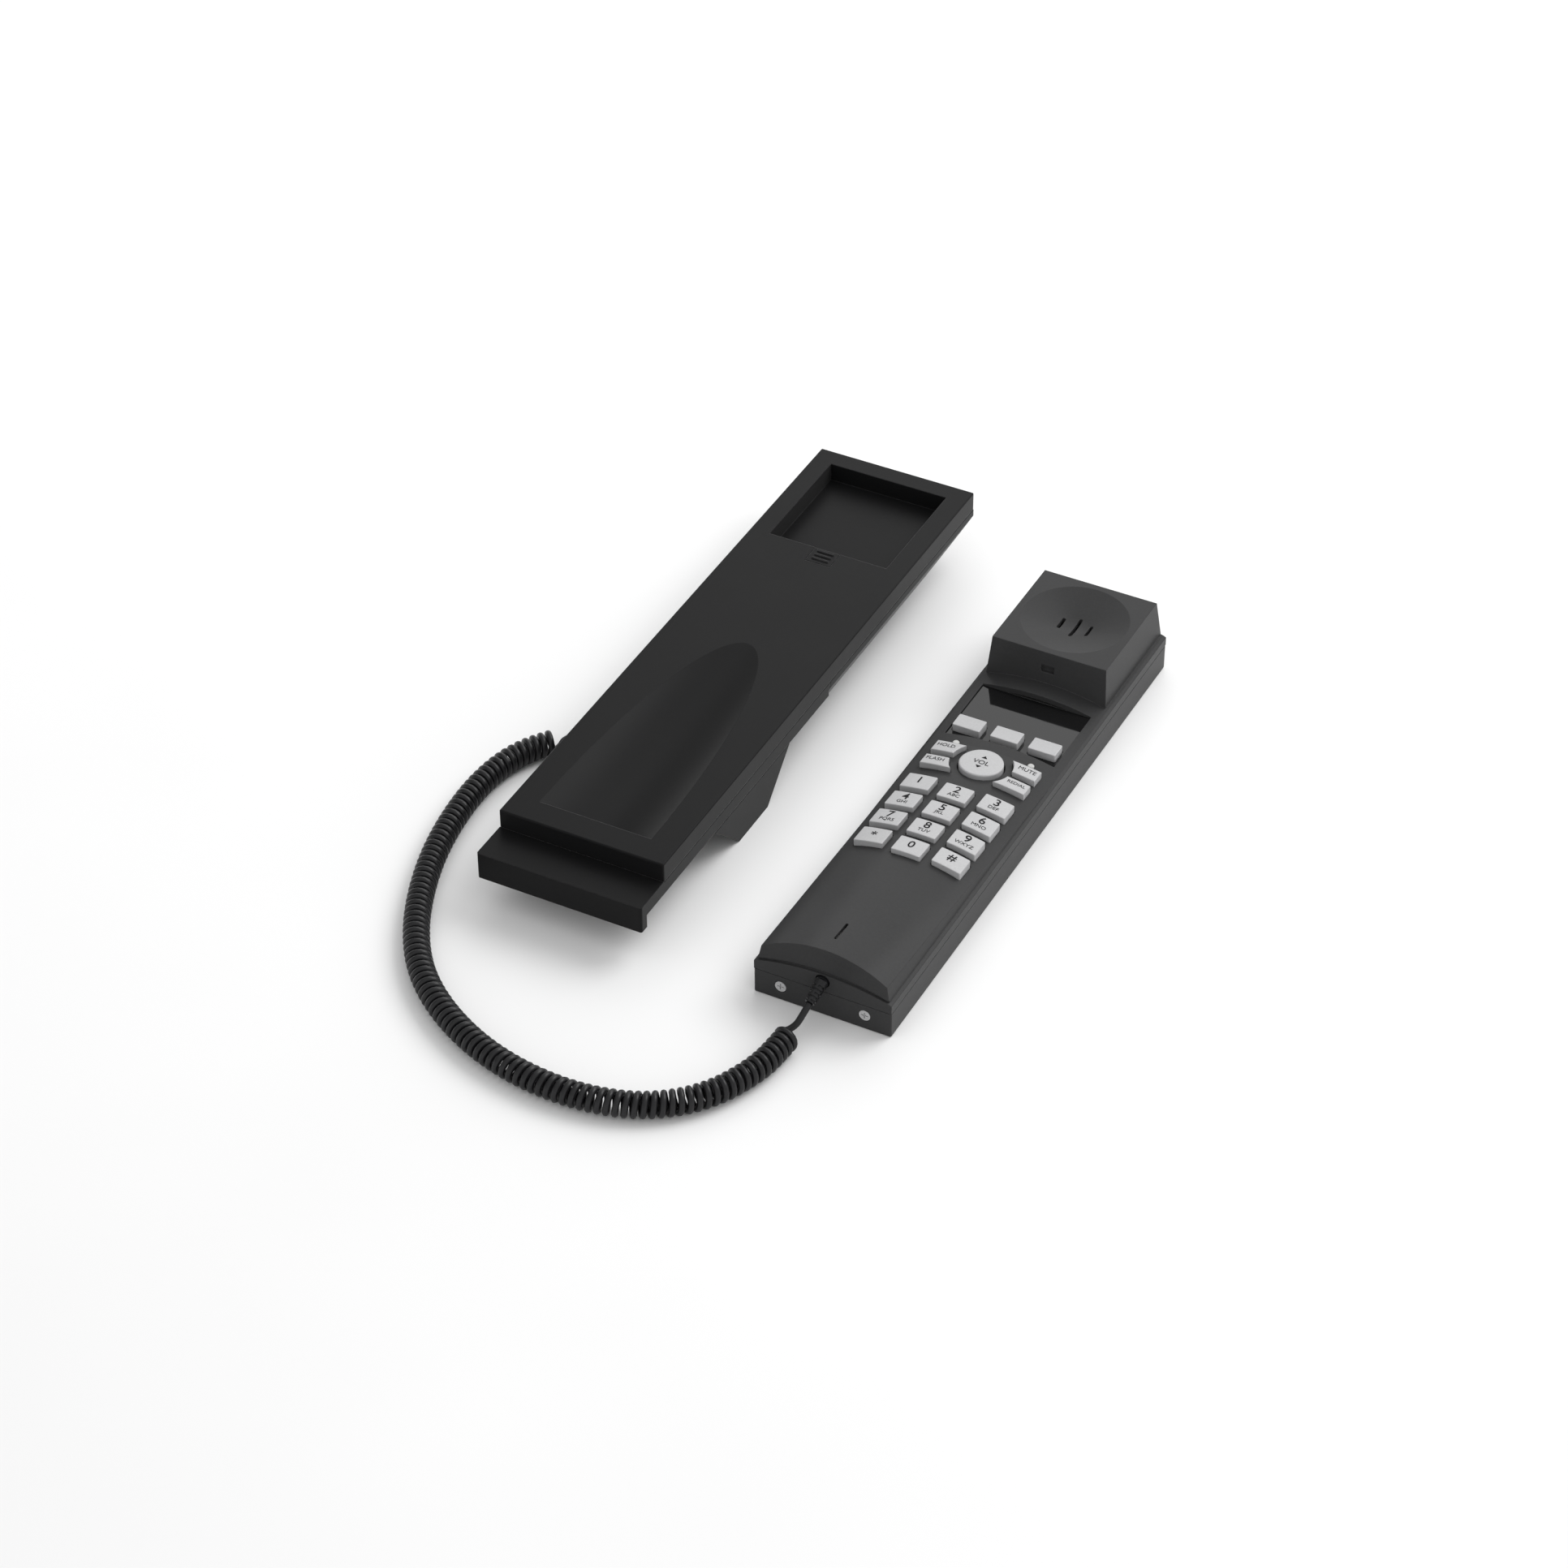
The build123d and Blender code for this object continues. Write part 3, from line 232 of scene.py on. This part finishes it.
def metal(name, colour, roughness):
    """Pressed or turned metal with fine brushing and duller patches."""
    n = Nodes(name)
    n.shader.inputs["Metallic"].default_value = 1.0
    soft, edge_mask = n.edges(THIN_EDGE)
    brushed = n.noise(1400.0, 3.0, n.stretched(BRUSH_STRETCH))
    patches = n.noise(160.0, 3.0)
    tone = n.mix(n.spread(patches, 0.0, 1.0), shade(colour, 0.85), shade(colour, 1.1))
    n.give(n.shader.inputs["Base Color"], tone)
    rough = n.spread(patches, roughness, roughness + 0.15)
    n.give(n.shader.inputs["Roughness"], n.plus(rough, n.times(edge_mask, -0.1)))
    n.give(n.shader.inputs["Normal"], n.bump(brushed, BRUSH_DEPTH, soft))
    return n.material


SOLDER_MASK = (0.012, 0.09, 0.035, 1)
TRACK_GREEN = (0.03, 0.2, 0.08, 1)
TRACK_RANGE = (0.4, 0.5)
TRACK_DEPTH = 0.02 * MM


def board(name):
    """Green solder mask with paler tracks."""
    n = Nodes(name)
    tracks = n.add("ShaderNodeTexBrick", {"Vector": n.place(), "Scale": 260.0,
                                          "Mortar Size": 0.12})
    drift = n.noise(70.0)
    mask = n.spread(n.times(tracks.outputs["Fac"], drift), 0.0, 1.0, TRACK_RANGE)
    n.give(n.shader.inputs["Base Color"], n.mix(mask, SOLDER_MASK, TRACK_GREEN))
    n.give(n.shader.inputs["Roughness"], n.spread(drift, 0.25, 0.4))
    n.give(n.shader.inputs["Normal"], n.bump(mask, TRACK_DEPTH))
    return n.material


INK_DARK = (0.004, 0.004, 0.0045, 1)
INK_PALE = (0.01, 0.01, 0.011, 1)


def ink(name):
    """Screen-printed ink: nearly black, slightly uneven in tone and gloss."""
    n = Nodes(name)
    n.shader.inputs["Specular IOR Level"].default_value = 0.1
    uneven = n.noise(2500.0, 3.0)
    n.give(n.shader.inputs["Base Color"], n.mix(n.spread(uneven, 0.0, 1.0), INK_DARK, INK_PALE))
    n.give(n.shader.inputs["Roughness"], n.spread(uneven, 0.4, 0.55))
    return n.material


# Each plastic's last factor pales its edges, partly rubbed wear and partly painted highlight; the
# base's 5.0 is mostly painted highlight along its edges and its pocket's outlines.
BASE_PLASTIC = plastic("base_plastic", (0.0070, 0.0070, 0.0072), 0.40, specular=0.07, sheen=0.2,
                       wear_and_highlight=5.0)
HANDSET_PLASTIC = plastic("handset_plastic", (0.037, 0.037, 0.0375), 0.30, specular=0.065,
                          wear_and_highlight=1.8)
KEY_PLASTIC = plastic("key_plastic", (0.39, 0.39, 0.395), 0.42, grain=3600.0, edge=0.15 * MM,
                      wear_and_highlight=1.12)
CORD_VINYL = plastic("cord_vinyl", (0.008, 0.008, 0.009), 0.36, specular=0.3, grain=1800.0,
                     edge=0.1 * MM, wear_and_highlight=1.2)
CAP_PLASTIC = plastic("cap_plastic", (0.40, 0.40, 0.405), 0.5, edge=THIN_EDGE, wear_and_highlight=1.1)
RUBBER = plastic("mat_rubber", (0.20, 0.20, 0.205), 0.65, edge=THIN_EDGE, wear_and_highlight=1.1)
PANEL = gloss("panel_gloss", (0.008, 0.008, 0.0082), 0.03, specular=0.27)
LENS = gloss("light_lens", (0.42, 0.42, 0.41), 0.18)
JACK_PLASTIC = gloss("jack_plastic", (0.012, 0.012, 0.012), 0.2)
PLUG_PLASTIC = gloss("plug_plastic", (0.42, 0.44, 0.45), 0.1)
PLUG_PLASTIC.node_tree.nodes["Principled BSDF"].inputs["Transmission Weight"].default_value = 0.6
STEEL = metal("plated_steel", (0.55, 0.55, 0.57), 0.35)
CAN_METAL = metal("can_metal", (0.62, 0.61, 0.58), 0.25)
FERRITE = metal("ferrite", (0.06, 0.06, 0.06), 0.5)
BOARD = board("solder_mask")
INK = ink("key_ink")

MATERIAL_OF_SLOT = {
    "charcoal_plastic": BASE_PLASTIC,
    "handset_plastic": HANDSET_PLASTIC,
    "gloss_panel": PANEL,
    "key_plastic": KEY_PLASTIC,
    "light_lens": LENS,
    "screw_steel": STEEL,
    "screw_caps": CAP_PLASTIC,
    "jack_plastic": JACK_PLASTIC,
    "clear_plug": PLUG_PLASTIC,
    "circuit_board": BOARD,
    "sounder_metal": CAN_METAL,
    "magnet_ferrite": FERRITE,
    "mat_rubber": RUBBER,
    "switch_glass": PLUG_PLASTIC,
    "cord_vinyl": CORD_VINYL,
}


def dress_cad_nodes():
    for row in frame["record"]["subparts"]:
        node = frame["nodes"][row["node"]]
        for slot in node.material_slots:
            slot.material = MATERIAL_OF_SLOT[row["material_slot"]]


# ---- cord ----

WIRE = 2.2 * MM
COIL = 8.9 * MM
COIL_TURNS = 105
RING_SIDES = 10
STEPS_PER_TURN = 18
LEAD_STEP = 0.7 * MM
LEAD_TURN = 0.3             # share of a turn in which a lead swings onto the coil
COIL_START = 13.5 * MM      # distance along the route before the first turn
COIL_END = 14.0 * MM        # distance along the route after the last turn
FLARE_AT_HANDSET = 1.9      # how fast a lead moves out from the route to the coil: 1 takes
FLARE_AT_BASE = 1.2         # the whole lead, 2 the half next to the coil
ROUTE_RESOLUTION = 24
CORD_HEIGHT = COIL / 2 + 0.05 * MM

# Points that steer the route of the cord from the strain relief to the plug, in metres from
# HANDSET. The ones at CORD_HEIGHT carry the curly part.
CORD_ROUTE = [
    (-0.0009, -0.0068, 0.0099),
    (-0.0014, -0.0106, 0.00772),
    (-0.0022, -0.0150, 0.0052),
    (-0.0026, -0.0224, CORD_HEIGHT),
    (-0.0040, -0.0360, CORD_HEIGHT),
    (-0.0120, -0.0540, CORD_HEIGHT),
    (-0.0265, -0.0664, CORD_HEIGHT),
    (-0.0450, -0.0716, CORD_HEIGHT),
    (-0.0650, -0.0714, CORD_HEIGHT),
    (-0.0848, -0.0666, CORD_HEIGHT),
    (-0.1036, -0.0572, CORD_HEIGHT),
    (-0.1192, -0.0446, CORD_HEIGHT),
    (-0.1308, -0.0286, CORD_HEIGHT),
    (-0.1392, -0.0110, CORD_HEIGHT),
    (-0.1454, 0.0074, CORD_HEIGHT),
    (-0.1490, 0.0262, CORD_HEIGHT),
    (-0.1502, 0.0430, CORD_HEIGHT),
    (-0.1488, 0.0570, CORD_HEIGHT),
    (-0.1452, 0.0673, CORD_HEIGHT),
    (-0.1385, 0.0766, CORD_HEIGHT),
    (-0.1352, 0.0782, 0.0053),
    (-0.1315, 0.0784, 0.0071),
    (-0.1289, 0.0778, 0.0080),
    (-0.1263, 0.0778, 0.0080),
]


def route_line():
    """Closely spaced points of the smooth curve that the route steers."""
    curve = bpy.data.curves.new("route", "CURVE")
    curve.dimensions = "3D"
    spline = curve.splines.new("NURBS")
    spline.points.add(len(CORD_ROUTE) - 1)
    for point, place in zip(spline.points, CORD_ROUTE):
        point.co = (*(HANDSET + Vector(place)), 1.0)
    spline.order_u = 3
    spline.use_endpoint_u = True
    spline.resolution_u = ROUTE_RESOLUTION
    holder = bpy.data.objects.new("route", curve)
    bpy.context.collection.objects.link(holder)
    mesh = bpy.data.meshes.new_from_object(holder)
    line = [vertex.co.copy() for vertex in mesh.vertices]
    bpy.data.meshes.remove(mesh)
    bpy.data.objects.remove(holder)
    return line


class Line:
    """A polyline that gives its place and direction at any distance along it."""

    def __init__(self, points):
        self.points = points
        self.reach = [0.0]
        for a, b in zip(points, points[1:]):
            self.reach.append(self.reach[-1] + (b - a).length)
        self.length = self.reach[-1]

    def at(self, distance):
        distance = min(max(distance, 0.0), self.length)
        low, high = 0, len(self.reach) - 1
        while high - low > 1:
            middle = (low + high) // 2
            if self.reach[middle] <= distance:
                low = middle
            else:
                high = middle
        span = self.reach[high] - self.reach[low]
        share = (distance - self.reach[low]) / span
        return self.points[low].lerp(self.points[high], share)

    def ahead(self, distance):
        step = 1.0 * MM
        return (self.at(distance + step) - self.at(distance - step)).normalized()


def smooth(share):
    """Eases from 0 to 1 while the share goes from 0 to 1."""
    share = min(max(share, 0.0), 1.0)
    return share * share * (3 - 2 * share)


def curly_points(line):
    """Wire centres: a lead, the turns of the helix round the line, and the other lead."""
    coil_length = line.length - COIL_START - COIL_END
    ring = (COIL - WIRE) / 2
    points = []

    def lay(distance, turn, radius):
        along = line.ahead(distance)
        side = along.cross(Vector((0, 0, 1))).normalized()
        rise = side.cross(along)
        angle = 2 * math.pi * turn
        spoke = side * math.cos(angle) + rise * math.sin(angle)
        points.append(line.at(distance) + spoke * radius)

    lead_steps = round(COIL_START / LEAD_STEP)
    for step in range(lead_steps):
        share = step / lead_steps
        lay(COIL_START * share, LEAD_TURN * (share - 1),
            ring * smooth(share * FLARE_AT_HANDSET - (FLARE_AT_HANDSET - 1)))
    steps = COIL_TURNS * STEPS_PER_TURN
    for step in range(steps + 1):
        lay(COIL_START + coil_length * step / steps, step / STEPS_PER_TURN, ring)
    lead_steps = round(COIL_END / LEAD_STEP)
    for step in range(1, lead_steps + 1):
        share = step / lead_steps
        lay(line.length - COIL_END * (1 - share), COIL_TURNS + LEAD_TURN * share,
            ring * smooth(1 - share * FLARE_AT_BASE))
    return points


def tube_mesh(name, points, radius):
    """Closed tube round the points, with rings that turn as little as they can."""
    vertices, faces = [], []
    side = None
    for index, point in enumerate(points):
        after = points[min(index + 1, len(points) - 1)]
        along = (after - points[max(index - 1, 0)]).normalized()
        start = side if side is not None else along.orthogonal()
        side = (start - along * start.dot(along)).normalized()
        other = along.cross(side)
        for corner in range(RING_SIDES):
            angle = 2 * math.pi * corner / RING_SIDES
            spoke = side * math.cos(angle) + other * math.sin(angle)
            vertices.append(point + spoke * radius)
    for ring in range(len(points) - 1):
        for corner in range(RING_SIDES):
            a = ring * RING_SIDES + corner
            b = ring * RING_SIDES + (corner + 1) % RING_SIDES
            faces.append((a, b, b + RING_SIDES, a + RING_SIDES))
    last = (len(points) - 1) * RING_SIDES
    faces.append(tuple(reversed(range(RING_SIDES))))
    faces.append(tuple(range(last, last + RING_SIDES)))
    mesh = bpy.data.meshes.new(name)
    mesh.from_pydata(vertices, [], faces)
    for face in mesh.polygons:
        face.use_smooth = len(face.vertices) == 4
    return mesh


def make_cord():
    points = curly_points(Line(route_line()))
    cord = bpy.data.objects.new("curly_cord", tube_mesh("curly_cord", points, WIRE / 2))
    bpy.context.collection.objects.link(cord)
    cord.data.materials.append(CORD_VINYL)
    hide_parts("cord_handset_lead", "cord_curly", "cord_base_lead")
    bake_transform(cord)


# ---- key labels ----

DIGIT_LABELS = {
    "digit_key_1": ("1", ""), "digit_key_2": ("2", "ABC"), "digit_key_3": ("3", "DEF"),
    "digit_key_4": ("4", "GHI"), "digit_key_5": ("5", "JKL"), "digit_key_6": ("6", "MNO"),
    "digit_key_7": ("7", "PQRS"), "digit_key_8": ("8", "TUV"), "digit_key_9": ("9", "WXYZ"),
    "digit_key_star": ("*", ""), "digit_key_0": ("0", ""), "digit_key_hash": ("#", ""),
}
FUNCTION_LABELS = {
    "hold_key": "HOLD", "flash_key": "FLASH", "mute_key": "MUTE", "redial_key": "REDIAL",
}
INK_LIFT = 0.06 * MM         # middle of the ink above the key's top
INK_DEPTH = 0.02 * MM        # half the thickness of the ink
PRINT_RESOLUTION = 4
DIGIT_SIZE = 4.8 * MM
DIGIT_SPREAD = 0.04 * MM     # how far a digit is fattened beyond its outline
LONE_DIGIT_UP = 0.85 * MM    # distances up from the middle of the key
DIGIT_UP = 1.6 * MM
LETTER_SIZE = 2.2 * MM
LETTERS_UP = -1.5 * MM
FUNCTION_WIDTH = 6.3 * MM
FUNCTION_TALLEST = 1.7 * MM
FUNCTION_REACH = 14.7 * MM   # middle of a function key's word, from the handset's centre line
FUNCTION_UP = 0.7 * MM
VOLUME_SIZE = 3.0 * MM
ARROW_HALF_WIDTH = 1.0 * MM
ARROW_HEIGHT = 1.3 * MM
ARROW_UP = 3.0 * MM
ARROW_DOWN = 2.7 * MM
RAY_START = 0.1              # metres above the floor, over every key


def text_mesh(text, size, centre, spread=0.0, width=None):
    """Vertices and faces of one line of print, flat, with its middle at a point.

    With a width, the line is fitted inside that width and FUNCTION_TALLEST.
    """
    curve = bpy.data.curves.new("print", "FONT")
    curve.body = text
    curve.size = size
    curve.extrude = INK_DEPTH
    curve.offset = spread
    curve.resolution_u = PRINT_RESOLUTION
    holder = bpy.data.objects.new("print", curve)
    bpy.context.collection.objects.link(holder)
    mesh = bpy.data.meshes.new_from_object(holder)
    bpy.data.objects.remove(holder)
    bpy.data.curves.remove(curve)
    xs = [vertex.co.x for vertex in mesh.vertices]
    ys = [vertex.co.y for vertex in mesh.vertices]
    middle = Vector(((min(xs) + max(xs)) / 2, (min(ys) + max(ys)) / 2, 0))
    fit = 1.0
    if width:
        fit = min(width / (max(xs) - min(xs)), FUNCTION_TALLEST / (max(ys) - min(ys)))
    vertices = [(vertex.co - middle) * fit + Vector((*centre, 0)) for vertex in mesh.vertices]
    faces = [tuple(face.vertices) for face in mesh.polygons]
    bpy.data.meshes.remove(mesh)
    return vertices, faces


def arrow_mesh(centre, half_width, height):
    """A small solid triangle pointing along +Y, or along -Y for a negative height."""
    x, y = centre
    flat = [(x - half_width, y - height / 2), (x + half_width, y - height / 2),
            (x, y + height / 2)]
    if height < 0:
        flat.reverse()
    vertices = [Vector((*p, z)) for z in (-INK_DEPTH, INK_DEPTH) for p in flat]
    return vertices, [(2, 1, 0), (3, 4, 5), (0, 1, 4, 3), (1, 2, 5, 4), (2, 0, 3, 5)]


def lay_on_key(key, parts):
    """Joins flat print and drops it onto the key's top, or to its height beyond the edge."""
    target = frame["nodes"][key]
    down = Vector((0, 0, -1))
    vertices, faces = [], []
    for part_vertices, part_faces in parts:
        offset = len(vertices)
        for vertex in part_vertices:
            hit, place, _, _ = target.ray_cast(Vector((vertex.x, vertex.y, RAY_START)), down)
            top = place.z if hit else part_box(key)[1][2]
            vertices.append(Vector((vertex.x, vertex.y, top + INK_LIFT + vertex.z)))
        faces += [tuple(i + offset for i in face) for face in part_faces]
    name = f"print_{key}"
    mesh = bpy.data.meshes.new(name)
    mesh.from_pydata(vertices, [], faces)
    mesh.validate()
    label = bpy.data.objects.new(name, mesh)
    bpy.context.collection.objects.link(label)
    mesh.materials.append(INK)
    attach(label, key)


def key_middle(key):
    low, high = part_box(key)
    return (low[0] + high[0]) / 2, (low[1] + high[1]) / 2


def make_labels():
    for key, (digit, letters) in DIGIT_LABELS.items():
        x, y = key_middle(key)
        if letters:
            parts = [text_mesh(digit, DIGIT_SIZE, (x, y + DIGIT_UP), DIGIT_SPREAD),
                     text_mesh(letters, LETTER_SIZE, (x, y + LETTERS_UP))]
        else:
            parts = [text_mesh(digit, DIGIT_SIZE, (x, y + LONE_DIGIT_UP), DIGIT_SPREAD)]
        lay_on_key(key, parts)
    for key, word in FUNCTION_LABELS.items():
        side, y = key_middle(key)
        x = HANDSET.x + math.copysign(FUNCTION_REACH, side - HANDSET.x)
        lay_on_key(key, [text_mesh(word, DIGIT_SIZE, (x, y + FUNCTION_UP), width=FUNCTION_WIDTH)])
    x, y = key_middle("volume_rocker")
    lay_on_key("volume_rocker", [text_mesh("VOL", VOLUME_SIZE, (x, y)),
                                 arrow_mesh((x, y + ARROW_UP), ARROW_HALF_WIDTH, ARROW_HEIGHT),
                                 arrow_mesh((x, y - ARROW_DOWN), ARROW_HALF_WIDTH, -ARROW_HEIGHT)])


# ---- floor and light ----

FLOOR_HALF = 4.0
FLOOR_DARK = (0.84, 0.84, 0.84, 1)
FLOOR_PALE = (0.86, 0.86, 0.86, 1)
LIGHT_AIM = (0.0, 0.0, 0.02)
LIGHT_SIDE = 1.0
# Ranges of the world's brightness, over the X and then the Z of the direction looked in.
ABOVE_FADE = {"From Min": -0.4, "From Max": -0.75, "To Min": 0.86, "To Max": 0.4}
HORIZON_FADE = {"From Min": 0.06, "From Max": 0.3, "To Min": 1.4}


def make_floor():
    mesh = bpy.data.meshes.new("floor")
    corners = [(-1, -1), (1, -1), (1, 1), (-1, 1)]
    mesh.from_pydata([(x * FLOOR_HALF, y * FLOOR_HALF, 0) for x, y in corners], [], [(0, 1, 2, 3)])
    floor = bpy.data.objects.new("floor", mesh)
    bpy.context.collection.objects.link(floor)
    n = Nodes("floor")
    paper = n.spread(n.noise(6.0), 0.0, 1.0)
    n.give(n.shader.inputs["Base Color"], n.mix(paper, FLOOR_DARK, FLOOR_PALE))
    n.shader.inputs["Roughness"].default_value = 0.9
    n.shader.inputs["Specular IOR Level"].default_value = 0.1
    mesh.materials.append(n.material)


def make_light(name, place, power):
    data = bpy.data.lights.new(name, "AREA")
    data.shape = "RECTANGLE"
    data.size = data.size_y = LIGHT_SIDE
    data.energy = power
    light = bpy.data.objects.new(name, data)
    light.location = place
    light.rotation_euler = (Vector(LIGHT_AIM) - Vector(place)).to_track_quat("-Z", "Y").to_euler()
    bpy.context.collection.objects.link(light)


def make_world():
    """A pale room, bright round the horizon and dimmer above it on the base's side."""
    world = bpy.data.worlds.new("studio")
    world.use_nodes = True
    tree = world.node_tree
    place = tree.nodes.new("ShaderNodeTexCoord")
    split = tree.nodes.new("ShaderNodeSeparateXYZ")
    tree.links.new(place.outputs["Generated"], split.inputs["Vector"])

    def soft_range(value, ends):
        node = tree.nodes.new("ShaderNodeMapRange")
        node.interpolation_type = "SMOOTHSTEP"
        for socket, end in ends.items():
            node.inputs[socket].default_value = end
        tree.links.new(value, node.inputs["Value"])
        return node

    above = soft_range(split.outputs["X"], ABOVE_FADE)
    horizon = soft_range(split.outputs["Z"], HORIZON_FADE)
    tree.links.new(above.outputs["Result"], horizon.inputs["To Max"])
    background = tree.nodes["Background"]
    background.inputs["Color"].default_value = (1, 1, 1, 1)
    tree.links.new(horizon.outputs["Result"], background.inputs["Strength"])
    bpy.context.scene.world = world


def make_studio():
    make_floor()
    make_world()
    make_light("far_left", (-0.33, 1.25, 1.02), 4.7)
    make_light("far_right", (0.7, 0.9, 1.35), 16)
    bpy.context.scene.view_settings.view_transform = "Standard"


make_camera()
dress_cad_nodes()
make_cord()
make_labels()
make_studio()
